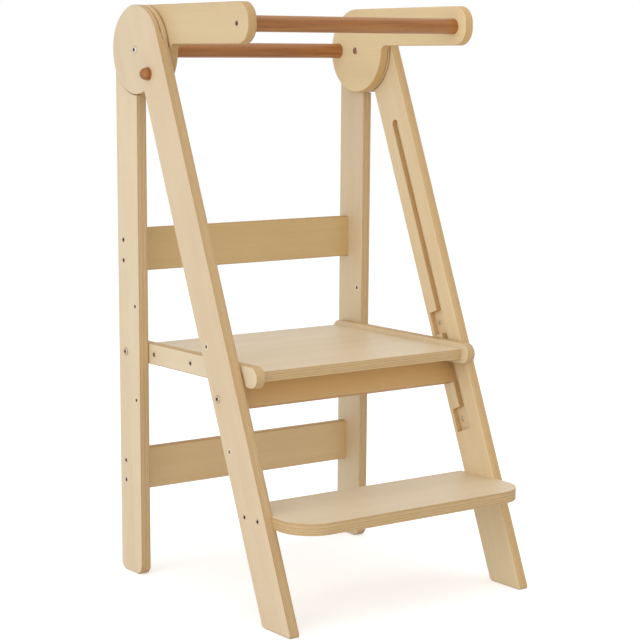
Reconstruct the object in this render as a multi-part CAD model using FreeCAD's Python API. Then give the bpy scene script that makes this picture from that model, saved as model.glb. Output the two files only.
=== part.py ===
import FreeCAD
import Part

import math
import os

from FreeCAD import Vector

# Folding helper stool for a toddler, in millimetres.
# +X is the stool's right side, +Y its back, +Z up. The pieces are worked out about the
# head pivot axis (y = 0), and the finished set is moved so that its box is centred on
# the origin with the feet on z = 0.

# ---- driving dimensions -------------------------------------------------------------
width_over_legs = 460.0       # over the front legs
leg_plate = 18.0              # thickness of the four legs
plate = 16.0                  # thickness of the handrail, the platform and the rails
lap_gap = 2.0                 # between the two halved heads, taken up by a washer
pivot_height = 834.0
head_radius = 67.5
shoulder_gap = 0.8            # round a halved head
edge_ease = 1.6               # broken edges of the plywood
lap_ease = 1.0                # broken edge of a head where it faces its partner

front_tilt = 22.2             # degrees from upright, foot forward
front_leg_width = 67.5
front_toe_radius = 3.5
front_heel_radius = 9.0
rear_lean = 0.5               # degrees from upright, foot back
rear_leg_width = 63.0
rear_foot_radius = 14.0

side_gap = 0.8                # rear leg to handrail, and rear leg to platform rail
washer_play = 0.1
washer_radius = 12.0

sleeve_radius = 5.0
sleeve_bolt_radius = 3.0
sleeve_head_radius = 6.2
sleeve_head_height = 1.4
sleeve_floor = 2.0            # solid end of the tube nut, under its head
sleeve_end_gap = 1.0          # from the sleeve's end to the leg's outer face
running_clearance = 0.05
fixed_clearance = 0.02

arm_reach = 280.0             # head pivot to the front end of the handrail
arm_underside = 7.8           # above the head pivot
arm_nose_radius = 26.0
arm_throat_radius = 11.0
rod_radius = 11.8
rod_socket_depth = 5.0
front_rod_forward = 251.0
front_rod_above = 36.6
rear_rod_behind = 47.0
rod_screw_length = 45.0

peg_circle_radius = 53.4
peg_angle = 222.3             # degrees, from +Y towards +Z
peg_shank_radius = 6.0
peg_collar_radius = 9.75
peg_collar_height = 2.5
peg_bulb_radius = 9.2
peg_bulb_out = 5.1            # centre of the bulb, out from the leg
peg_reach_into_arm = 6.5
slot_play = 0.3
handrail_swing = 80.0         # degrees, up from rest
leg_fold = 21.5               # degrees, until the legs almost meet

rail_height = 67.5            # the two boards between the rear legs
rail_set_back = 37.0          # behind the rear leg's front edge
upper_rail_drop = 311.0       # down the leg from the head pivot
lower_rail_drop = 667.0
rail_screw_pitch = 32.4

platform_height = 361.8       # middle of the platform's side rails
platform_pivot_behind = 45.3
platform_front_centre = 282.0  # centre of the side rail's round front end
side_rail_height = 33.0
board_rise = 8.6              # underside of the board above the underside of the rails
board_front = 283.0
board_rear = 56.0
spare_pivot_forward = 9.9
board_screw_forward = (116.8, 192.0)
lane_peg_forward = 228.2
lane_peg_radius = 5.5
lane_peg_depth = 9.0
lane_peg_gap = 0.3
pivot_bolt_radius = 4.0
pivot_bolt_depth = 12.0       # into the side rail
pivot_insert_depth = 13.0

height_step = 75.0            # between the three heights of the platform
spare_insert_set_back = 15.0
insert_radius = 5.0
insert_bore_radius = 3.2

lane_centre = 33.0            # ahead of the front leg's rear edge
lane_width = 13.5
lane_depth = 9.5
lane_top = 133.5              # down the leg from the head pivot
crossbar_height = 38.0
crossbar_set_forward = 8.5    # ahead of the front leg's rear edge
crossbar_gap = 0.3            # under the side rails
pocket_play = 0.2
crossbar_insert_depth = 20.0

step_top = 167.0
step_thickness = 18.0
step_front = 424.0
step_rear = 265.0
step_housing = 5.0            # depth of the trench in each front leg
step_corner_radius = 52.0
step_screw_forward = (295.4, 329.5)
step_screw_length = 60.0

screw_head_radius = 4.6
screw_head_height = 3.0
screw_shank_radius = 2.6
screw_length = 55.0
bolt_head_radius = 6.2
bolt_head_height = 1.6
bolt_head_ease = 0.6
crossbar_bolt_spare = 3.0     # thread left beyond the bolt's end
crossbar_bolt_radius = 3.2

# ---- places worked out from them ----------------------------------------------------
front_outer = width_over_legs / 2.0
front_inner = front_outer - leg_plate
rear_outer = front_outer - lap_gap
rear_inner = rear_outer - leg_plate
front_lap = front_outer - leg_plate / 2.0
rear_lap = rear_inner + leg_plate / 2.0
arm_outer = rear_inner - side_gap
arm_inner = arm_outer - plate

tilt = math.radians(front_tilt)
lean = math.radians(rear_lean)
crossbar_front = crossbar_set_forward + plate
platform_underside = platform_height - side_rail_height / 2.0
board_underside = platform_underside + board_rise
crossbar_top_drop = (pivot_height - platform_underside + crossbar_gap
                     + crossbar_front * math.sin(tilt)) / math.cos(tilt)
crossbar_drop = crossbar_top_drop + crossbar_height / 2.0
crossbar_middle = crossbar_set_forward + plate / 2.0
pocket_pitch = height_step / math.cos(tilt)
lane_rear = lane_centre - lane_width / 2.0
lane_front = lane_centre + lane_width / 2.0
rail_middle = rail_set_back + plate / 2.0
step_lug_rear = (pivot_height - step_top + step_thickness / 2.0) * math.tan(tilt)
X_AXIS = Vector(1, 0, 0)
ORIGIN = Vector(0, 0, 0)
same_place = 1e-4             # two points nearer than this are one


# ---- shapes -------------------------------------------------------------------------
def side_view(a, b):
    return Vector(0, a, b)


def plan_view(a, b):
    return Vector(a, b, 0)


def profile(corners, place):
    """Face with straight sides and rounded corners, each corner given as (a, b, radius)."""
    points = [place(a, b) for a, b, radius in corners]
    stops = []
    for index, corner in enumerate(points):
        radius = corners[index][2]
        to_last = (points[index - 1] - corner).normalize()
        to_next = (points[(index + 1) % len(points)] - corner).normalize()
        if radius == 0:
            stops.append((corner, None, corner))
            continue
        half = to_last.getAngle(to_next) / 2.0
        run = radius / math.tan(half)
        inward = (to_last + to_next).normalize()
        crown = corner + inward * (radius / math.sin(half) - radius)
        stops.append((corner + to_last * run, crown, corner + to_next * run))
    edges = []
    for index, (start, crown, end) in enumerate(stops):
        following = stops[(index + 1) % len(stops)][0]
        if crown is not None:
            edges.append(Part.Arc(start, crown, end).toShape())
        if end.distanceToPoint(following) > same_place:
            edges.append(Part.LineSegment(end, following).toShape())
    return Part.Face(Part.Wire(edges))


def plate_x(corners, x_from, x_to):
    """Plate cut to a side-view profile, between two planes across X."""
    solid = profile(corners, side_view).extrude(Vector(x_to - x_from, 0, 0))
    return solid.translated(Vector(x_from, 0, 0))


def plate_z(corners, z_from, z_to):
    """Plate cut to a plan-view profile, between two levels."""
    solid = profile(corners, plan_view).extrude(Vector(0, 0, z_to - z_from))
    return solid.translated(Vector(0, 0, z_from))


def rod_x(radius, x_from, x_to, y, z):
    return Part.makeCylinder(radius, x_to - x_from, Vector(x_from, y, z), X_AXIS)


def box(x, y, z):
    """Block between three pairs of limits."""
    return Part.makeBox(x[1] - x[0], y[1] - y[0], z[1] - z[0], Vector(x[0], y[0], z[0]))


def polar(radius, degrees, x=0.0):
    """Point on a circle about the head pivot, in the pivot's own frame."""
    angle = math.radians(degrees)
    return Vector(x, radius * math.cos(angle), radius * math.sin(angle))


def arc_slot(radius, start, end, half_width, x_from, x_to):
    """Round-ended slot that follows a circle about the head pivot."""
    outer, inner = radius + half_width, radius - half_width
    middle = (start + end) / 2.0
    past_start = polar(radius, start) - polar(half_width, start + 90.0)
    past_end = polar(radius, end) + polar(half_width, end + 90.0)
    arcs = [
        Part.Arc(polar(outer, start), polar(outer, middle), polar(outer, end)),
        Part.Arc(polar(outer, end), past_end, polar(inner, end)),
        Part.Arc(polar(inner, end), polar(inner, middle), polar(inner, start)),
        Part.Arc(polar(inner, start), past_start, polar(outer, start)),
    ]
    face = Part.Face(Part.Wire([arc.toShape() for arc in arcs]))
    slot = face.extrude(Vector(x_to - x_from, 0, 0))
    return slot.translated(Vector(x_from, 0, pivot_height))


def edges_on_planes(solid, axis, levels):
    """Edges that lie wholly in one of the planes across an axis."""
    chosen = []
    for edge in solid.Edges:
        low = getattr(edge.BoundBox, axis + "Min")
        high = getattr(edge.BoundBox, axis + "Max")
        if any(abs(low - level) < same_place and abs(high - level) < same_place for level in levels):
            chosen.append(edge)
    return chosen


def eased(solid, axis, levels, ease=edge_ease):
    """The solid with every edge in these planes broken."""
    return solid.makeChamfer(ease, edges_on_planes(solid, axis, levels))


def one_solid(shape):
    return shape.removeSplitter().Solids[0]


def mirrored(shape):
    return shape.mirror(ORIGIN, X_AXIS)


def both_sides(shape):
    return [mirrored(shape), shape]


def placed_front(shape):
    """From the front leg's own upright frame to its tilt under the head pivot."""
    turned = shape.copy()
    turned.rotate(ORIGIN, X_AXIS, -front_tilt)
    return turned.translated(Vector(0, 0, pivot_height))


def placed_rear(shape):
    """From the rear leg's own upright frame to its lean under the head pivot."""
    turned = shape.copy()
    turned.rotate(ORIGIN, X_AXIS, rear_lean)
    return turned.translated(Vector(0, 0, pivot_height))


# ---- fasteners, all made on the right side and driven towards -X -----------------------
def flush_screw(face_x, y, z, length, grow=0.0):
    """Countersunk screw whose head lies level with the face."""
    base = Vector(face_x - screw_head_height - grow, y, z)
    head = Part.makeCone(screw_shank_radius + grow, screw_head_radius + grow,
                         screw_head_height + grow, base, X_AXIS)
    shank = rod_x(screw_shank_radius + grow, face_x - length - grow, face_x - screw_head_height, y, z)
    return one_solid(head.fuse(shank))


def proud_bolt(face_x, y, z, shank_radius, length, head_radius_here, head_height):
    """Bolt with a low round head that stands on the face."""
    head = rod_x(head_radius_here, face_x, face_x + head_height, y, z)
    head = eased(head, "X", [face_x + head_height], bolt_head_ease)
    shank = rod_x(shank_radius, face_x - length, face_x, y, z)
    return one_solid(head.fuse(shank))


def tube_x(outer, bore, x_from, x_to, y, z):
    return rod_x(outer, x_from, x_to, y, z).cut(rod_x(bore, x_from, x_to, y, z))


# ---- legs ---------------------------------------------------------------------------
def leg_outline(toward, leg_width, foot_near, foot_far, near_radius, far_radius):
    """Side view of a leg: inner edge through the pivot, outer edge at the leg's width."""
    return [
        (0.0, 0.0, 0.0),
        (0.0, -foot_near, near_radius),
        (toward * leg_width, -foot_far, far_radius),
        (toward * leg_width, 0.0, 0.0),
    ]


def halved_leg(outline, inner, outer, head_x, lap):
    """Leg with a round head of half thickness, and a round shoulder beside its partner."""
    head = rod_x(head_radius, head_x[0], head_x[1], 0, 0)
    head = eased(head, "X", [lap], lap_ease)
    cheek = one_solid(plate_x(outline, head_x[0], head_x[1]).fuse(head))
    shoulder_x = (inner, head_x[0]) if head_x[0] > inner else (head_x[1], outer)
    shank = plate_x(outline, shoulder_x[0], shoulder_x[1])
    shank = shank.cut(rod_x(head_radius + shoulder_gap, shoulder_x[0], shoulder_x[1], 0, 0))
    body = one_solid(shank.fuse(cheek))
    return eased(body, "X", [inner, outer])


def front_leg():
    foot_near = pivot_height / math.cos(tilt)
    foot_far = (pivot_height + front_leg_width * math.sin(tilt)) / math.cos(tilt)
    outline = leg_outline(-1, front_leg_width, foot_near, foot_far,
                          front_heel_radius, front_toe_radius)
    leg = halved_leg(outline, front_inner, front_outer, (front_lap, front_outer), front_lap)

    lane_bottom = crossbar_drop + pocket_pitch + crossbar_height / 2.0
    lane = plate_x([
        (-lane_rear, -lane_top, lane_width / 2.0),
        (-lane_rear, -lane_bottom, 0.0),
        (-lane_front, -lane_bottom, 0.0),
        (-lane_front, -lane_top, lane_width / 2.0),
    ], front_inner, front_inner + lane_depth)
    leg = leg.cut(lane)
    for drop in pocket_drops():
        half = crossbar_height / 2.0 + pocket_play
        leg = leg.cut(box((front_inner, front_inner + lane_depth),
                          (-lane_front, -crossbar_set_forward + pocket_play),
                          (-drop - half, -drop + half)))
        bore = (crossbar_bolt_radius if drop == crossbar_drop else insert_radius) + fixed_clearance
        leg = leg.cut(rod_x(bore, front_inner, front_outer, -crossbar_middle, -drop))
    leg = placed_front(leg)

    leg = leg.cut(box((front_inner, front_inner + step_housing), (-step_front, 0.0),
                      (step_top - step_thickness, step_top)))
    for tool in step_screw_set(fixed_clearance):
        leg = leg.cut(tool)
    leg = leg.cut(rod_x(sleeve_radius + running_clearance, front_inner, front_outer, 0, pivot_height))
    peg = polar(peg_circle_radius, peg_angle)
    leg = leg.cut(rod_x(peg_shank_radius + running_clearance, front_inner, front_outer,
                        peg.y, pivot_height + peg.z))
    return one_solid(leg)


def rear_leg():
    foot_near = pivot_height / math.cos(lean)
    foot_far = (pivot_height + rear_leg_width * math.sin(lean)) / math.cos(lean)
    outline = leg_outline(1, rear_leg_width, foot_near, foot_far,
                          rear_foot_radius, rear_foot_radius)
    leg = halved_leg(outline, rear_inner, rear_outer, (rear_inner, rear_lap), rear_lap)
    leg = placed_rear(leg)

    for tool in rail_screw_set(upper_rail_drop, fixed_clearance):
        leg = leg.cut(tool)
    for tool in rail_screw_set(lower_rail_drop, fixed_clearance):
        leg = leg.cut(tool)
    for height in spare_insert_heights():
        leg = leg.cut(rod_x(insert_radius + fixed_clearance, rear_inner, rear_outer,
                            spare_insert_set_back, height))
    leg = leg.cut(rod_x(pivot_bolt_radius + running_clearance, rear_inner, rear_outer,
                        platform_pivot_behind, platform_height))
    leg = leg.cut(rod_x(sleeve_radius + fixed_clearance, rear_inner, rear_outer, 0, pivot_height))
    leg = leg.cut(arc_slot(peg_circle_radius, peg_angle, peg_angle + leg_fold,
                           peg_shank_radius + slot_play, rear_inner, rear_lap))
    return one_solid(leg)


def pocket_drops():
    return (crossbar_drop - pocket_pitch, crossbar_drop, crossbar_drop + pocket_pitch)


def spare_insert_heights():
    return (platform_height + height_step, platform_height - height_step)


# ---- rear frame -----------------------------------------------------------------------
def back_rail(drop):
    rail = box((-rear_inner, rear_inner), (rail_set_back, rail_set_back + plate),
               (-drop - rail_height / 2.0, -drop + rail_height / 2.0))
    long_edges = [edge for edge in rail.Edges if edge.BoundBox.XLength > rear_inner]
    rail = placed_rear(rail.makeChamfer(edge_ease, long_edges))
    for tool in rail_screw_set(drop, fixed_clearance):
        rail = rail.cut(tool).cut(mirrored(tool))
    return one_solid(rail)


def rail_screw_set(drop, grow=0.0):
    screws = []
    for offset in (-rail_screw_pitch / 2.0, rail_screw_pitch / 2.0):
        screws.append(placed_rear(flush_screw(rear_outer, rail_middle, -drop + offset, screw_length, grow)))
    return screws


def head_sleeve():
    """Tube nut: its head lies on the arm's inner face, and the heads of the legs turn on it."""
    seat = arm_inner - washer_play
    barrel = tube_x(sleeve_radius, sleeve_bolt_radius + fixed_clearance,
                    arm_inner, front_outer - sleeve_end_gap, 0, pivot_height)
    cap = rod_x(sleeve_head_radius, seat - sleeve_head_height, seat, 0, pivot_height)
    cap = eased(cap, "X", [seat - sleeve_head_height], bolt_head_ease)
    neck = rod_x(sleeve_radius, seat, arm_inner + sleeve_floor, 0, pivot_height)
    return one_solid(barrel.fuse(neck).fuse(cap))


def head_bolt():
    length = front_outer - arm_inner - sleeve_floor
    return proud_bolt(front_outer + washer_play, 0, pivot_height, sleeve_bolt_radius,
                      length + washer_play, sleeve_head_radius, sleeve_head_height)


def washer(y, z, bore, x_from, x_to):
    """Nylon washer that almost fills the space between two plates."""
    return tube_x(washer_radius, bore, x_from + washer_play, x_to - washer_play, y, z)


def head_washer():
    return washer(0, pivot_height, sleeve_radius + fixed_clearance, arm_outer, rear_inner)


def lap_washer():
    return washer(0, pivot_height, sleeve_radius + fixed_clearance, rear_lap, front_lap)


def platform_washer():
    return washer(platform_pivot_behind, platform_height, pivot_bolt_radius + running_clearance,
                  arm_outer, rear_inner)


def rear_leg_insert(height):
    return tube_x(insert_radius, insert_bore_radius, rear_inner, rear_outer,
                  spare_insert_set_back, height)


# ---- front frame ----------------------------------------------------------------------
def lower_step():
    """Board with round front corners; its ends are let into the legs, and its back runs between them."""
    half = front_inner + step_housing
    step = plate_z([
        (-front_inner, -step_rear, 0.0),
        (front_inner, -step_rear, 0.0),
        (front_inner, -step_lug_rear, 0.0),
        (half, -step_lug_rear, 0.0),
        (half, -step_front, step_corner_radius),
        (-half, -step_front, step_corner_radius),
        (-half, -step_lug_rear, 0.0),
        (-front_inner, -step_lug_rear, 0.0),
    ], step_top - step_thickness, step_top)
    for tool in step_screw_set(fixed_clearance):
        step = step.cut(tool).cut(mirrored(tool))
    return one_solid(step)


def step_screw_set(grow=0.0):
    height = step_top - step_thickness / 2.0
    return [flush_screw(front_outer, -forward, height, step_screw_length, grow)
            for forward in step_screw_forward]


def crossbar():
    half = front_inner + lane_depth
    bar = box((-half, half), (-crossbar_front, -crossbar_set_forward),
              (-crossbar_drop - crossbar_height / 2.0, -crossbar_drop + crossbar_height / 2.0))
    socket = rod_x(insert_radius + fixed_clearance, half - crossbar_insert_depth, half,
                   -crossbar_middle, -crossbar_drop)
    bar = bar.cut(socket).cut(mirrored(socket))
    return one_solid(placed_front(bar))


def crossbar_insert():
    half = front_inner + lane_depth
    return placed_front(tube_x(insert_radius, crossbar_bolt_radius, half - crossbar_insert_depth, half,
                               -crossbar_middle, -crossbar_drop))


def crossbar_bolt():
    length = leg_plate - lane_depth + crossbar_insert_depth - crossbar_bolt_spare
    return placed_front(proud_bolt(front_outer, -crossbar_middle, -crossbar_drop,
                                   crossbar_bolt_radius - fixed_clearance, length,
                                   bolt_head_radius, bolt_head_height))


def front_leg_insert(drop):
    return placed_front(tube_x(insert_radius, insert_bore_radius, front_inner + lane_depth, front_outer,
                               -crossbar_middle, -drop))


# ---- handrail -------------------------------------------------------------------------
def arm():
    """Round head with a straight bar whose top runs level off the top of the head."""
    bar = plate_x([
        (0.0, head_radius, 0.0),
        (-arm_reach, head_radius, arm_nose_radius),
        (-arm_reach, arm_underside, arm_nose_radius),
        (0.0, arm_underside, 0.0),
    ], arm_inner, arm_outer)
    body = one_solid(bar.fuse(rod_x(head_radius, arm_inner, arm_outer, 0, 0)))
    throat_y = -math.sqrt(head_radius ** 2 - arm_underside ** 2)
    throat = [edge for edge in body.Edges
              if abs(edge.BoundBox.Center.y - throat_y) < same_place
              and abs(edge.BoundBox.Center.z - arm_underside) < same_place]
    body = body.makeFillet(arm_throat_radius, throat)
    body = eased(body, "X", [arm_inner, arm_outer])
    body = body.translated(Vector(0, 0, pivot_height))

    for y, z in rod_places():
        body = body.cut(rod_x(rod_radius + fixed_clearance, arm_inner, arm_inner + rod_socket_depth, y, z))
        body = body.cut(flush_screw(arm_outer, y, z, rod_screw_length, fixed_clearance))
    body = body.cut(rod_x(sleeve_radius + running_clearance, arm_inner, arm_outer, 0, pivot_height))
    body = body.cut(arc_slot(peg_circle_radius, peg_angle, peg_angle + handrail_swing,
                             peg_shank_radius + slot_play,
                             arm_outer - peg_reach_into_arm - slot_play, arm_outer))
    return one_solid(body)


def rod_places():
    """Side-view places of the two round rods."""
    return ((-front_rod_forward, pivot_height + front_rod_above), (rear_rod_behind, pivot_height))


def rod(place):
    half = arm_inner + rod_socket_depth
    bar = rod_x(rod_radius, -half, half, place[0], place[1])
    tool = flush_screw(arm_outer, place[0], place[1], rod_screw_length, fixed_clearance)
    return one_solid(bar.cut(tool).cut(mirrored(tool)))


def rod_screw(place):
    return flush_screw(arm_outer, place[0], place[1], rod_screw_length)


def stop_peg():
    """Turned peg: shank through both heads into the arm's slot, with a collar and a bulb outside."""
    place = polar(peg_circle_radius, peg_angle)
    y, z = place.y, pivot_height + place.z
    shank = rod_x(peg_shank_radius, arm_outer - peg_reach_into_arm, front_outer, y, z)
    collar = rod_x(peg_collar_radius, front_outer, front_outer + peg_collar_height, y, z)
    bulb = Part.makeSphere(peg_bulb_radius, Vector(front_outer + peg_bulb_out, y, z), X_AXIS)
    room = rod_x(peg_collar_radius, front_outer, front_outer + peg_bulb_out + peg_bulb_radius, y, z)
    return one_solid(shank.fuse([collar, bulb.common(room)]))


# ---- platform -------------------------------------------------------------------------
def platform_side_rail():
    half = side_rail_height / 2.0
    rear = platform_pivot_behind + half
    front = -platform_front_centre - half
    rail = plate_x([
        (rear, platform_height + half, half),
        (front, platform_height + half, half),
        (front, platform_height - half, half),
        (rear, platform_height - half, half),
    ], arm_inner, arm_outer)
    rail = eased(rail, "X", [arm_inner, arm_outer])
    for y in (platform_pivot_behind, -spare_pivot_forward):
        rail = rail.cut(rod_x(insert_radius + fixed_clearance, arm_outer - pivot_insert_depth, arm_outer,
                              y, platform_height))
    for tool in board_screw_set(fixed_clearance):
        rail = rail.cut(tool)
    rail = rail.cut(rod_x(lane_peg_radius + fixed_clearance, arm_outer - lane_peg_depth, arm_outer,
                          -lane_peg_forward, platform_height))
    return one_solid(rail)


def platform_board():
    board = box((-arm_inner, arm_inner), (-board_front, board_rear),
                (board_underside, board_underside + plate))
    long_edges = [edge for edge in board.Edges
                  if edge.BoundBox.XLength > arm_inner
                  and edge.BoundBox.Center.z > platform_height]
    board = board.makeChamfer(edge_ease, long_edges)
    for tool in board_screw_set(fixed_clearance):
        board = board.cut(tool).cut(mirrored(tool))
    return one_solid(board)


def board_screw_set(grow=0.0):
    height = board_underside + plate / 2.0
    return [flush_screw(arm_outer, -forward, height, screw_length, grow)
            for forward in board_screw_forward]


def platform_pivot_bolt():
    length = rear_outer - arm_outer + pivot_bolt_depth + washer_play
    return proud_bolt(rear_outer + washer_play, platform_pivot_behind, platform_height,
                      pivot_bolt_radius, length, bolt_head_radius, bolt_head_height)


def side_rail_insert(y, bore):
    return tube_x(insert_radius, bore, arm_outer - pivot_insert_depth, arm_outer, y, platform_height)


def lane_peg():
    """Guide peg of the side rail, which runs in the front leg's lane."""
    return rod_x(lane_peg_radius, arm_outer - lane_peg_depth, front_inner - lane_peg_gap,
                 -lane_peg_forward, platform_height)


# ---- the set of pieces ----------------------------------------------------------------
def build():
    """Node name to its list of solids, still about the head pivot."""
    nodes = {}
    for name, shape in (("rear_leg", rear_leg()), ("front_leg", front_leg()), ("arm", arm()),
                        ("platform_side_rail", platform_side_rail()), ("stop_peg", stop_peg())):
        nodes[name + "_left"] = [mirrored(shape)]
        nodes[name + "_right"] = [shape]

    nodes["upper_back_rail"] = [back_rail(upper_rail_drop)]
    nodes["lower_back_rail"] = [back_rail(lower_rail_drop)]
    nodes["upper_rail_screws"] = [piece for screw in rail_screw_set(upper_rail_drop)
                                  for piece in both_sides(screw)]
    nodes["lower_rail_screws"] = [piece for screw in rail_screw_set(lower_rail_drop)
                                  for piece in both_sides(screw)]
    nodes["rear_leg_inserts"] = [piece for height in spare_insert_heights()
                                 for piece in both_sides(rear_leg_insert(height))]
    nodes["head_pivot_sleeves"] = both_sides(head_sleeve())
    nodes["head_pivot_bolts"] = both_sides(head_bolt())
    nodes["head_washers"] = both_sides(head_washer()) + both_sides(lap_washer())
    nodes["platform_washers"] = both_sides(platform_washer())

    nodes["lower_step"] = [lower_step()]
    nodes["step_screws"] = [piece for screw in step_screw_set() for piece in both_sides(screw)]
    nodes["crossbar"] = [crossbar()]
    nodes["crossbar_inserts"] = both_sides(crossbar_insert())
    nodes["crossbar_bolts"] = both_sides(crossbar_bolt())
    nodes["front_leg_inserts"] = [piece for drop in pocket_drops() if drop != crossbar_drop
                                  for piece in both_sides(front_leg_insert(drop))]

    front_place, rear_place = rod_places()
    nodes["handrail_front_rod"] = [rod(front_place)]
    nodes["handrail_rear_rod"] = [rod(rear_place)]
    nodes["front_rod_screws"] = both_sides(rod_screw(front_place))
    nodes["rear_rod_screws"] = both_sides(rod_screw(rear_place))

    nodes["platform_board"] = [platform_board()]
    nodes["board_screws"] = [piece for screw in board_screw_set() for piece in both_sides(screw)]
    nodes["platform_pivot_bolts"] = both_sides(platform_pivot_bolt())
    nodes["platform_pivot_inserts"] = both_sides(
        side_rail_insert(platform_pivot_behind, pivot_bolt_radius + fixed_clearance))
    nodes["spare_pivot_inserts"] = both_sides(side_rail_insert(-spare_pivot_forward, insert_bore_radius))
    nodes["lane_pegs"] = both_sides(lane_peg())
    return nodes


def main():
    os.makedirs("parts", exist_ok=True)
    nodes = build()
    whole = Part.makeCompound([solid for solids in nodes.values() for solid in solids]).optimalBoundingBox()
    shift = Vector(-whole.Center.x, -whole.Center.y, -whole.ZMin)
    for name, solids in nodes.items():
        moved = [solid.translated(shift) for solid in solids]
        shape = moved[0] if len(moved) == 1 else Part.makeCompound(moved)
        shape.exportStep(os.path.join("parts", name + ".step"))
    print("nodes", len(nodes), "shift", tuple(round(value, 3) for value in shift))
    print("head pivot", round(shift.y, 3), round(pivot_height + shift.z, 3))
    print("platform pivot", round(platform_pivot_behind + shift.y, 3), round(platform_height + shift.z, 3))


main()
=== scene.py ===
import math

import bpy
from mathutils import Matrix, Vector


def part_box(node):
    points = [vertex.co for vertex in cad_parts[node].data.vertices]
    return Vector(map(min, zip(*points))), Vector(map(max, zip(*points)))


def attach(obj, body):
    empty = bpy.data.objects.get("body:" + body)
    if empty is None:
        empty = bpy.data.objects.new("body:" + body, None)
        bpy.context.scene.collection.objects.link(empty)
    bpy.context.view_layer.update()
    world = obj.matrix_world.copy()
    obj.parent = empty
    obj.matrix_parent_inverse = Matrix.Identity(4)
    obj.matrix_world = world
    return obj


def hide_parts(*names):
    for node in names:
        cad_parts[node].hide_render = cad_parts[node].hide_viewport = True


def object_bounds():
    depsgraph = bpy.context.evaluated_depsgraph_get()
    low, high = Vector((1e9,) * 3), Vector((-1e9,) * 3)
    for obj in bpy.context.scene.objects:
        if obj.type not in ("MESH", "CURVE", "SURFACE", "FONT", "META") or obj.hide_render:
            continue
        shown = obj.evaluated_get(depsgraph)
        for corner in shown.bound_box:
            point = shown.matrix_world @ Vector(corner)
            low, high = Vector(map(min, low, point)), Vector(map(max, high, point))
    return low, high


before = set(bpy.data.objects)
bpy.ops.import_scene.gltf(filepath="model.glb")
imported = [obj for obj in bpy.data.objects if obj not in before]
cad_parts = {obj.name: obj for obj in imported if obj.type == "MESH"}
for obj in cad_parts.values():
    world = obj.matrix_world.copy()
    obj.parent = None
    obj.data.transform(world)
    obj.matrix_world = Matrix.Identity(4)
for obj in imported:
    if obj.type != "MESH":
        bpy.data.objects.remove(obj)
cad_low, cad_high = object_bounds()

# ---- plywood legs of the rear frame -------------------------------------------------------
# Two upright legs of 18 mm birch plywood, cut with a router and sanded, then sealed with
# a clear satin lacquer. The faces are birch veneer with the grain along the leg, and the
# cut edges show the stack of thin plies.
leg_plate = 0.018
rear_lean = math.radians(0.5)
rear_leg_seed = 1.0
white = (1.0, 1.0, 1.0, 1.0)
black = (0.0, 0.0, 0.0, 1.0)

# face veneer; each grain is in noise cells per metre, twice across the grain and once along
veneer_pale = (0.760, 0.630, 0.435, 1.0)
veneer_warm = (0.700, 0.550, 0.355, 1.0)
veneer_fleck = (0.560, 0.385, 0.205, 1.0)
fine_grain = (420.0, 420.0, 9.0)
fine_share = 0.35
band_grain = (26.0, 26.0, 1.4)
band_share = 0.65
tone_ends = (0.34, 0.64)
pore_grain = (1500.0, 1500.0, 70.0)
pore_ends = (0.64, 0.74)
pore_strength = 0.18
mottle_grain = (16.0, 16.0, 10.0)
mottle_dull = (0.965, 0.950, 0.940, 1.0)
cloud_ends = (0.30, 0.70)

# cut edge, where the long-grain and the cross plies take turns
ply_pitch = 0.00142
ply_long = (0.675, 0.490, 0.268, 1.0)
ply_cross = (0.568, 0.386, 0.190, 1.0)
ply_dull = (0.90, 0.87, 0.82, 1.0)
ply_bright = (1.05, 1.05, 1.06, 1.0)
wander_grain = (9.0, 9.0, 9.0)
wander_plies = 0.5
glue_line = (0.380, 0.250, 0.130, 1.0)
glue_share = 0.09
glue_strength = 0.42
fuzz_grain = (700.0, 260.0, 60.0)
fuzz_dull = (0.88, 0.86, 0.83, 1.0)

# a surface is a cut edge where it is far from square to the plate's thickness
face_ends = (0.60, 0.82)
edge_rough = (0.62, 0.62, 0.62, 1.0)
lacquer_smooth = (0.38, 0.38, 0.38, 1.0)
lacquer_rough = (0.49, 0.49, 0.49, 1.0)
lacquer_ends = (0.30, 0.75)
lacquer_specular = 0.42
grain_relief = 0.10
relief_depth = 0.0004
pore_relief = 0.5

weld_distance = 0.000005
wood_round_angle = 52.0


def add_node(tree, kind, **sockets):
    """Shader node with its sockets set or linked; a socket's name has _ for a space."""
    node = tree.nodes.new(kind)
    for key, value in sockets.items():
        place = int(key[1:]) if key[1:].isdigit() else key.replace("_", " ")
        socket = node.inputs[place]
        if isinstance(value, bpy.types.NodeSocket):
            tree.links.new(value, socket)
        else:
            socket.default_value = value
    return node


def arithmetic(tree, operation, first, second=0.0):
    node = add_node(tree, "ShaderNodeMath", _0=first, _1=second)
    node.operation = operation
    return node.outputs[0]


def ramp(tree, factor, ends, first, last):
    """Colour that runs from first to last between the factor's two ends."""
    node = add_node(tree, "ShaderNodeValToRGB", Fac=factor)
    for element, position, colour in zip(node.color_ramp.elements, ends, (first, last)):
        element.position = position
        element.color = colour
    return node.outputs["Color"]


def blend_colours(tree, factor, first, second, mode="MIX"):
    node = tree.nodes.new("ShaderNodeMix")
    node.data_type = "RGBA"
    node.blend_type = mode
    for socket, value in ((node.inputs[0], factor), (node.inputs[6], first), (node.inputs[7], second)):
        if isinstance(value, bpy.types.NodeSocket):
            tree.links.new(value, socket)
        else:
            socket.default_value = value
    return node.outputs[2]


def shaded_by(tree, colour, tone):
    return blend_colours(tree, 1.0, colour, tone, "MULTIPLY")


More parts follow.
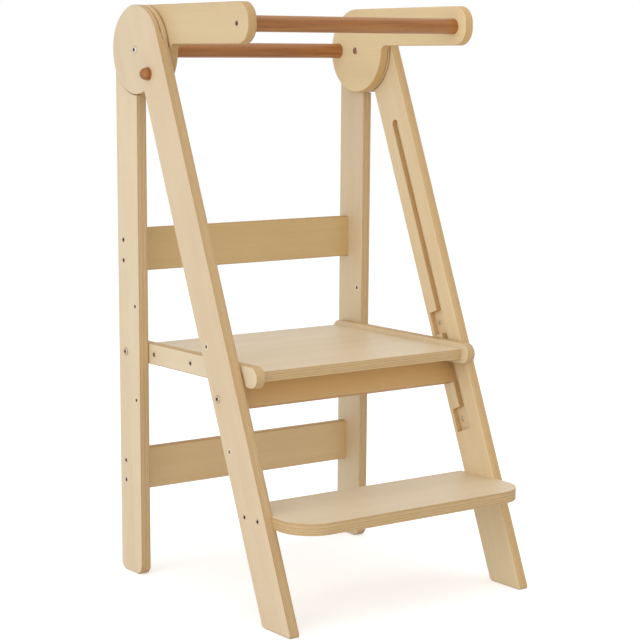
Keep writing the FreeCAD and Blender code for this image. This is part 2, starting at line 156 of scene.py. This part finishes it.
def streaks(tree, point, seed, grain, detail):
    """Noise stretched along the grain, which runs along the point's Z."""
    stretched = add_node(tree, "ShaderNodeMapping", Vector=point, Scale=grain).outputs[0]
    noise = tree.nodes.new("ShaderNodeTexNoise")
    noise.noise_dimensions = "4D"
    tree.links.new(stretched, noise.inputs["Vector"])
    noise.inputs["W"].default_value = seed
    noise.inputs["Scale"].default_value = 1.0
    noise.inputs["Detail"].default_value = detail
    return noise.outputs["Fac"]


def ply_stack(tree, own, across, thickness, seed):
    """Colour of a cut edge: long-grain and cross plies in turn, each with its own tone."""
    plies = round(thickness / ply_pitch / 2.0) * 2 + 1
    wander = streaks(tree, own, seed + 11.0, wander_grain, 1.0)
    depth = arithmetic(tree, "ADD", arithmetic(tree, "DIVIDE", across, thickness / plies),
                       arithmetic(tree, "MULTIPLY", wander, wander_plies))
    layer = arithmetic(tree, "FLOOR", depth)
    within = arithmetic(tree, "SUBTRACT", depth, layer)
    is_cross = arithmetic(tree, "PINGPONG", layer, 1.0)
    plain = blend_colours(tree, is_cross, ply_long, ply_cross)
    chance = tree.nodes.new("ShaderNodeTexWhiteNoise")
    chance.noise_dimensions = "1D"
    tree.links.new(arithmetic(tree, "ADD", layer, seed * 3.0 + 0.5), chance.inputs["W"])
    own_tone = ramp(tree, chance.outputs["Value"], (0.0, 1.0), ply_dull, ply_bright)
    toned = shaded_by(tree, plain, own_tone)
    from_seam = arithmetic(tree, "MINIMUM", within, arithmetic(tree, "SUBTRACT", 1.0, within))
    seam = ramp(tree, from_seam, (0.0, glue_share), white, black)
    glued = blend_colours(tree, arithmetic(tree, "MULTIPLY", seam, glue_strength), toned, glue_line)
    fuzz = streaks(tree, own, seed + 13.0, fuzz_grain, 2.0)
    return shaded_by(tree, glued, ramp(tree, fuzz, cloud_ends, fuzz_dull, white))


def new_finish(name):
    """A material, its node tree, its shader and its texture coordinates."""
    material = bpy.data.materials.new(name)
    material.use_nodes = True
    tree = material.node_tree
    return material, tree, tree.nodes["Principled BSDF"], tree.nodes.new("ShaderNodeTexCoord")


def plywood(name, thickness, through, grain, middle, seed, both_sides=False, tint_and_painted_light=white):
    """Lacquered birch plywood. through is the plate's thickness direction, grain the face
    veneer's, middle the plate's middle along through, and both_sides takes |X| for a pair."""
    material, tree, shader, place = new_finish(name)
    through = Vector(through).normalized()
    grain = Vector(grain).normalized()
    turn = Matrix((through, grain.cross(through), grain)).to_euler()
    point = place.outputs["Object"]
    if both_sides:
        parts = add_node(tree, "ShaderNodeSeparateXYZ", Vector=point)
        joined = add_node(tree, "ShaderNodeCombineXYZ", X=arithmetic(tree, "ABSOLUTE", parts.outputs[0]),
                          Y=parts.outputs[1], Z=parts.outputs[2])
        point = joined.outputs[0]
    own = add_node(tree, "ShaderNodeMapping", Vector=point, Rotation=turn,
                   Location=(-middle, 0.0, 0.0)).outputs[0]
    facing = add_node(tree, "ShaderNodeMapping", Vector=place.outputs["Normal"], Rotation=turn).outputs[0]
    own_parts = add_node(tree, "ShaderNodeSeparateXYZ", Vector=own)
    facing_parts = add_node(tree, "ShaderNodeSeparateXYZ", Vector=facing)

    # face veneer: fine long streaks, wide pale and warm bands, short dark pores
    fine = streaks(tree, own, seed, fine_grain, 4.0)
    bands = streaks(tree, own, seed + 7.0, band_grain, 2.0)
    pores = streaks(tree, own, seed + 3.0, pore_grain, 1.0)
    mottle = streaks(tree, own, seed + 5.0, mottle_grain, 2.0)
    tone = arithmetic(tree, "ADD", arithmetic(tree, "MULTIPLY", fine, fine_share),
                      arithmetic(tree, "MULTIPLY", bands, band_share))
    veneer = ramp(tree, tone, tone_ends, veneer_warm, veneer_pale)
    pore_mask = ramp(tree, pores, pore_ends, black, white)
    veneer = blend_colours(tree, arithmetic(tree, "MULTIPLY", pore_mask, pore_strength),
                           veneer, veneer_fleck)
    veneer = shaded_by(tree, veneer, ramp(tree, mottle, cloud_ends, mottle_dull, white))

    edge = ply_stack(tree, own, own_parts.outputs[0], thickness, seed)
    squareness = arithmetic(tree, "ABSOLUTE", facing_parts.outputs[0])
    is_face = ramp(tree, squareness, face_ends, black, white)
    # the tint multiplies in painted light and shade for some plates, and a real yellower tone for the arms
    colour = shaded_by(tree, blend_colours(tree, is_face, edge, veneer), tint_and_painted_light)
    tree.links.new(colour, shader.inputs["Base Color"])

    gloss = ramp(tree, fine, lacquer_ends, lacquer_smooth, lacquer_rough)
    tree.links.new(blend_colours(tree, is_face, edge_rough, gloss), shader.inputs["Roughness"])
    relief = arithmetic(tree, "ADD", fine, arithmetic(tree, "MULTIPLY", pores, pore_relief))
    bump = add_node(tree, "ShaderNodeBump", Strength=grain_relief, Distance=relief_depth, Height=relief)
    tree.links.new(bump.outputs[0], shader.inputs["Normal"])
    shader.inputs["Specular IOR Level"].default_value = lacquer_specular
    return material


def take_up(piece):
    """Selects one piece alone and makes it the active one."""
    bpy.ops.object.select_all(action="DESELECT")
    piece.select_set(True)
    bpy.context.view_layer.objects.active = piece


def welded(node):
    """Copy of a CAD node, with its loose triangles merged."""
    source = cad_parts[node]
    piece = source.copy()
    piece.data = source.data.copy()
    piece.name = node + "_finished"
    bpy.context.collection.objects.link(piece)
    piece.parent = None
    take_up(piece)
    bpy.ops.object.mode_set(mode="EDIT")
    bpy.ops.mesh.select_all(action="SELECT")
    bpy.ops.mesh.remove_doubles(threshold=weld_distance)
    bpy.ops.mesh.customdata_custom_splitnormals_clear()
    bpy.ops.object.mode_set(mode="OBJECT")
    piece.data.materials.clear()
    return piece


def softened(piece, round_angle):
    """Shades the piece's eased edges as round ones, with its broad faces flat."""
    take_up(piece)
    bpy.ops.object.shade_smooth_by_angle(angle=math.radians(round_angle))
    weighted = piece.modifiers.new("face_weight", "WEIGHTED_NORMAL")
    weighted.keep_sharp = True
    bpy.ops.object.modifier_apply(modifier=weighted.name)


def stands_for(piece, node, body):
    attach(piece, body)
    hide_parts(node)


def plywood_piece(node, body, material):
    piece = welded(node)
    softened(piece, wood_round_angle)
    piece.data.materials.append(material)
    stands_for(piece, node, body)


def plywood_pair(kind, body, thickness, grain, seed, tints_and_painted_light=(white, white)):
    """Left and right piece of one kind, each from its own sheet of plywood."""
    low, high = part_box(kind + "_right")
    middle = (low.x + high.x) / 2.0
    for index, side in enumerate(("left", "right")):
        ply = plywood(kind + "_plywood_" + side, thickness, (1, 0, 0), grain, middle,
                      seed + index, both_sides=True, tint_and_painted_light=tints_and_painted_light[index])
        plywood_piece(kind + "_" + side, body, ply)


up_rear_leg = (0.0, math.sin(rear_lean), -math.cos(rear_lean))
plywood_pair("rear_leg", "rear_frame", leg_plate, up_rear_leg, rear_leg_seed)

# ---- boards between the rear legs -----------------------------------------------------------
# Two lengths of birch plywood, 16 mm thick, stand on edge between the legs and keep
# them square. Their veneer is painted darker and warmer as painted shade, the upper one most.
# Two screws through each leg hold each end.
thin_plate = 0.016
rail_seed = 21.0
# painted shade: darker, warmer tints on the set-back rails, where warm bounce light and shade fall
back_rail_painted_shade = ((0.86, 0.76, 0.54, 1.0), (0.99, 0.88, 0.70, 1.0))
through_rail = (0.0, math.cos(rear_lean), math.sin(rear_lean))


def plywood_plate(node, body, thickness, through, seed, tint_and_painted_light=white):
    """One plate whose face grain runs across the stool."""
    low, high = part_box(node)
    centre = Vector((0.0, (low.y + high.y) / 2.0, (low.z + high.z) / 2.0))
    ply = plywood(node + "_plywood", thickness, through, (1, 0, 0), centre.dot(Vector(through)),
                  seed, tint_and_painted_light=tint_and_painted_light)
    plywood_piece(node, body, ply)


for index, node in enumerate(("upper_back_rail", "lower_back_rail")):
    plywood_plate(node, "rear_frame", thin_plate, through_rail, rail_seed + index, back_rail_painted_shade[index])

# ---- front legs -----------------------------------------------------------------------------
# Two sloping legs of 18 mm birch plywood, hinged on the rear legs' round heads. A lane and
# three pockets are routed in each inner face, for the platform's peg and the crossbar.
front_tilt = math.radians(22.2)
front_leg_seed = 31.0
# painted light: the right leg, in the left side's shade, is painted lighter, and the left leg, under the
# left lamp, a little darker
front_leg_painted_light = ((0.965, 0.945, 0.935, 1.0), (1.070, 1.050, 0.980, 1.0))
down_slope = (0.0, -math.sin(front_tilt), -math.cos(front_tilt))
plywood_pair("front_leg", "front_frame", leg_plate, down_slope, front_leg_seed, front_leg_painted_light)

# ---- lower step -----------------------------------------------------------------------------
# A wide tread of 18 mm birch plywood with large round front corners. Its ends are let into
# the front legs, and two screws through each leg hold it.
step_seed = 41.0
plywood_plate("lower_step", "front_frame", leg_plate, (0, 0, 1), step_seed)

# ---- crossbar under the platform --------------------------------------------------------------
# A bar of 16 mm plywood under the platform's front, its veneer painted darker and warmer
# as painted shade of the platform above it. Its ends sit in the middle pair of pockets, and a
# bolt through each leg holds each end.
crossbar_seed = 51.0
# painted shade: the crossbar is darkened and warmed for the shade under the platform
crossbar_painted_shade = (0.91, 0.72, 0.47, 1.0)
through_bar = (0.0, -math.cos(front_tilt), math.sin(front_tilt))
plywood_plate("crossbar", "front_frame", thin_plate, through_bar, crossbar_seed, crossbar_painted_shade)

# ---- handrail arms ----------------------------------------------------------------------------
# Two arms of 16 mm birch plywood, each a round head with a straight bar. They turn on the
# same pivots as the legs' heads, on the inside of them, and the two rods join them.
arm_seed = 61.0
# a yellower veneer tone on both arms, with painted light: the right arm, in the left side's shade, is
# painted lighter and the left arm, under the left lamp, darker
arm_tint_and_painted_light = ((0.92, 0.86, 0.74, 1.0), (1.09, 1.04, 0.89, 1.0))
plywood_pair("arm", "handrail", thin_plate, (0, 1, 0), arm_seed, arm_tint_and_painted_light)

# ---- platform ---------------------------------------------------------------------------------
# The board that the child stands on, of 16 mm birch plywood. It sits between two side rails
# with round ends, which turn on bolts in the rear legs.
side_rail_seed = 71.0
board_seed = 81.0
plywood_pair("platform_side_rail", "platform", thin_plate, (0, 1, 0), side_rail_seed)
plywood_plate("platform_board", "platform", thin_plate, (0, 0, 1), board_seed)

# ---- beech rods and pegs ------------------------------------------------------------------------
# Turned beech, oiled to a red brown: the two handrail rods, the knobs of the stop pegs and
# the guide pegs of the platform. Beech shows short dark flecks along the grain.
beech_light = (0.430, 0.185, 0.052, 1.0)
beech_dark = (0.292, 0.106, 0.026, 1.0)
beech_fleck = (0.180, 0.062, 0.020, 1.0)
beech_bands = (160.0, 160.0, 5.0)
beech_band_ends = (0.34, 0.66)
beech_flecks = (900.0, 900.0, 90.0)
beech_fleck_ends = (0.60, 0.72)
beech_fleck_strength = 0.45
beech_relief = 0.12
beech_rough = 0.42
beech_specular = 0.40
beech_seed = 91.0


def beech(name, seed):
    """Oiled beech with its grain along X, as it lies on the rods and pegs."""
    material, tree, shader, place = new_finish(name)
    grain = Vector((1, 0, 0))
    across = Vector((0, 1, 0))
    turn = Matrix((across, grain.cross(across), grain)).to_euler()
    own = add_node(tree, "ShaderNodeMapping", Vector=place.outputs["Object"], Rotation=turn).outputs[0]
    bands = streaks(tree, own, seed, beech_bands, 4.0)
    flecks = streaks(tree, own, seed + 2.0, beech_flecks, 1.0)
    colour = ramp(tree, bands, beech_band_ends, beech_dark, beech_light)
    mask = ramp(tree, flecks, beech_fleck_ends, black, white)
    colour = blend_colours(tree, arithmetic(tree, "MULTIPLY", mask, beech_fleck_strength),
                           colour, beech_fleck)
    tree.links.new(colour, shader.inputs["Base Color"])
    bump = add_node(tree, "ShaderNodeBump", Strength=beech_relief, Distance=relief_depth, Height=bands)
    tree.links.new(bump.outputs[0], shader.inputs["Normal"])
    shader.inputs["Roughness"].default_value = beech_rough
    shader.inputs["Specular IOR Level"].default_value = beech_specular
    return material


rod_beech = beech("rod_beech", beech_seed)
for node, body in (
        ("handrail_front_rod", "handrail"),
        ("handrail_rear_rod", "handrail"),
        ("stop_peg_left", "stop_peg_left"),
        ("stop_peg_right", "stop_peg_right"),
        ("lane_pegs", "platform")):
    piece = welded(node)
    softened(piece, wood_round_angle)
    piece.data.materials.append(rod_beech)
    stands_for(piece, node, body)

# ---- socket screws and bolts ----------------------------------------------------------------------
# Steel connector screws with a bronze-brown finish, and round-headed bolts in the head
# pivots and the crossbar. Each head has a hexagon socket for a key, its walls painted dark as
# the shade inside the recess.
bronze_brown = (0.540, 0.440, 0.325, 1.0)
pivot_nickel = (0.700, 0.620, 0.520, 1.0)
# painted shade: the dark steel in the sockets stands in for the shade inside the recess
socket_painted_shade = (0.270, 0.205, 0.140, 1.0)
haze_grain = (700.0, 700.0, 700.0)
haze_shade = 0.82
steel_seed = 5.0
steel_round_angle = 35.0

# width across the flats of the hexagon, and depth
screw_key = (0.0048, 0.0026)
rod_screw_key = (0.0060, 0.0030)
bolt_key = (0.0050, 0.0020)
pivot_key = (0.0050, 0.0026)
tube_nut_key = (0.0050, 0.0012)


def brushed_steel(name, colour, roughness):
    material, tree, shader, place = new_finish(name)
    haze = streaks(tree, place.outputs["Object"], steel_seed, haze_grain, 3.0)
    shade = tuple(channel * haze_shade for channel in colour[:3]) + (1.0,)
    tree.links.new(ramp(tree, haze, cloud_ends, shade, colour), shader.inputs["Base Color"])
    shader.inputs["Metallic"].default_value = 1.0
    shader.inputs["Roughness"].default_value = roughness
    return material


brown_steel = brushed_steel("brown_steel", bronze_brown, 0.36)
nickel_steel = brushed_steel("nickel_steel", pivot_nickel, 0.26)
socket_shade_steel = brushed_steel("socket_painted_shade_steel", socket_painted_shade, 0.50)


def loose_boxes(piece):
    """Lowest and highest corner of each separate solid of a piece."""
    boxes = []
    spare = piece.copy()
    spare.data = piece.data.copy()
    bpy.context.collection.objects.link(spare)
    take_up(spare)
    bpy.ops.mesh.separate(type="LOOSE")
    for solid in list(bpy.context.selected_objects):
        corners = [vertex.co for vertex in solid.data.vertices]
        boxes.append((Vector([min(c[axis] for c in corners) for axis in range(3)]),
                      Vector([max(c[axis] for c in corners) for axis in range(3)])))
        bpy.data.objects.remove(solid)
    return boxes


def cut_sockets(piece, across, depth):
    """Sinks a hexagon socket into the outer end of each screw or bolt of a node."""
    keys = []
    for low, high in loose_boxes(piece):
        outer = high.x if high.x > 0.0 else low.x
        bpy.ops.mesh.primitive_cylinder_add(
            vertices=6, radius=across / math.sqrt(3.0), depth=2.0 * depth,
            rotation=(0.0, math.pi / 2.0, 0.0),
            location=(outer, (low.y + high.y) / 2.0, (low.z + high.z) / 2.0))
        keys.append(bpy.context.object)
    bpy.ops.object.select_all(action="DESELECT")
    for key in keys:
        key.select_set(True)
    bpy.context.view_layer.objects.active = key
    bpy.ops.object.join()
    # the socket walls take the dark steel, painted shade of the recess
    key.data.materials.append(socket_shade_steel)
    take_up(piece)
    cut = piece.modifiers.new("socket", "BOOLEAN")
    cut.operation = "DIFFERENCE"
    cut.solver = "EXACT"
    cut.material_mode = "TRANSFER"
    cut.object = key
    bpy.ops.object.modifier_apply(modifier=cut.name)
    bpy.data.objects.remove(key)


for node, body, steel, key_size in (
        ("head_pivot_bolts", "rear_frame", nickel_steel, pivot_key),
        ("head_pivot_sleeves", "rear_frame", nickel_steel, tube_nut_key),
        ("platform_pivot_bolts", "platform", brown_steel, bolt_key),
        ("crossbar_bolts", "front_frame", brown_steel, bolt_key),
        ("upper_rail_screws", "rear_frame", brown_steel, screw_key),
        ("lower_rail_screws", "rear_frame", brown_steel, screw_key),
        ("step_screws", "front_frame", brown_steel, screw_key),
        ("board_screws", "platform", brown_steel, screw_key),
        ("front_rod_screws", "handrail", brown_steel, rod_screw_key),
        ("rear_rod_screws", "handrail", brown_steel, rod_screw_key)):
    piece = welded(node)
    piece.data.materials.append(steel)
    cut_sockets(piece, *key_size)
    softened(piece, steel_round_angle)
    stands_for(piece, node, body)

# ---- threaded inserts -------------------------------------------------------------------------------
# Open zinc-plated steel tubes pressed into the legs, the side rails and the crossbar. They
# take the bolts at the platform's present height and at its others.
tube_zinc = (0.830, 0.730, 0.590, 1.0)


def dress(node, material):
    """Gives a CAD node its finish, with its mesh left alone."""
    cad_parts[node].data.materials.clear()
    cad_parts[node].data.materials.append(material)


tube_steel = brushed_steel("tube_steel", tube_zinc, 0.48)
for node in ("rear_leg_inserts", "front_leg_inserts", "crossbar_inserts", "platform_pivot_inserts",
             "spare_pivot_inserts"):
    dress(node, tube_steel)

# ---- spacer washers -----------------------------------------------------------------------------------
# Thin rings of natural nylon on the pivots, between the plates that turn. They keep the
# lacquered faces from rubbing.
nylon_dull = (0.70, 0.68, 0.62, 1.0)
nylon_pale = (0.78, 0.76, 0.70, 1.0)
nylon_grain = (300.0, 300.0, 300.0)
nylon_rough = 0.55
nylon_seed = 3.0
nylon, tree, shader, place = new_finish("nylon")
cloud = streaks(tree, place.outputs["Object"], nylon_seed, nylon_grain, 2.0)
tree.links.new(ramp(tree, cloud, cloud_ends, nylon_dull, nylon_pale), shader.inputs["Base Color"])
shader.inputs["Roughness"].default_value = nylon_rough
for node in ("head_washers", "platform_washers"):
    dress(node, nylon)

# ---- floor, light and camera ----------------------------------------------------------------------------
# A white studio floor in a white room under soft light, with the largest lamp on the stool's
# left. The camera stands where the stool's own straight edges put it.
floor_size = 40.0
floor_grey = 0.80
just_over_white = 1.01
ambient = 0.65
camera_place = (-1.7272, -2.36468, 0.82310)
camera_turn = (79.160, -0.139, -36.014)
camera_lens = 106.03
camera_film = 36.0
camera_shift = 0.1537

bpy.ops.object.select_all(action="DESELECT")
bpy.ops.mesh.primitive_plane_add(size=floor_size, location=(0, 0, 0))
floor = bpy.context.object
floor.name = "studio_floor"
floor_white = bpy.data.materials.new("floor_white")
floor_white.use_nodes = True
tree = floor_white.node_tree
tree.nodes.clear()
path = tree.nodes.new("ShaderNodeLightPath")
seen = arithmetic(tree, "MAXIMUM", path.outputs["Is Camera Ray"], path.outputs["Is Glossy Ray"])
matt = add_node(tree, "ShaderNodeBsdfDiffuse", Color=(floor_grey, floor_grey, floor_grey, 1.0))
lift = add_node(tree, "ShaderNodeEmission", Color=white,
                Strength=arithmetic(tree, "MULTIPLY", seen, just_over_white - ambient * floor_grey))
total = add_node(tree, "ShaderNodeAddShader", _0=matt.outputs[0], _1=lift.outputs[0])
add_node(tree, "ShaderNodeOutputMaterial", Surface=total.outputs[0])
floor.data.materials.append(floor_white)

world = bpy.data.worlds.new("studio")
bpy.context.scene.world = world
world.use_nodes = True
tree = world.node_tree
sky = tree.nodes["Background"]
path = tree.nodes.new("ShaderNodeLightPath")
seen = arithmetic(tree, "MAXIMUM", path.outputs["Is Camera Ray"], path.outputs["Is Glossy Ray"])
seen = arithmetic(tree, "MAXIMUM", seen, path.outputs["Is Transmission Ray"])
tree.links.new(arithmetic(tree, "ADD", arithmetic(tree, "MULTIPLY", seen, 1.0 - ambient), ambient),
               sky.inputs["Strength"])
sky.inputs["Color"].default_value = white


def soft_lamp(name, place, size, power, colour=(1.0, 1.0, 1.0)):
    """Square lamp that looks at the stool's middle."""
    bpy.ops.object.light_add(type="AREA", location=place)
    lamp = bpy.context.object
    lamp.name = name
    lamp.data.size = size
    lamp.data.energy = power
    lamp.data.color = colour
    aim = Vector((0.0, 0.0, cad_high.z / 2.0)) - Vector(place)
    lamp.rotation_euler = aim.to_track_quat("-Z", "Y").to_euler()


soft_lamp("left_window", (-3.4, -0.8, 1.3), size=3.2, power=46.0, colour=(0.96, 0.99, 1.0))
soft_lamp("front_fill", (-1.7, -3.1, 0.9), size=2.4, power=19.0, colour=(1.0, 0.95, 0.82))
soft_lamp("top_fill", (0.4, -0.4, 3.6), size=3.0, power=31.0)

bpy.ops.object.camera_add(location=camera_place)
camera = bpy.context.object
camera.rotation_euler = [math.radians(angle) for angle in camera_turn]
camera.data.sensor_width = camera_film
camera.data.lens = camera_lens
camera.data.shift_y = camera_shift
bpy.context.scene.camera = camera
bpy.context.scene.view_settings.view_transform = "Standard"
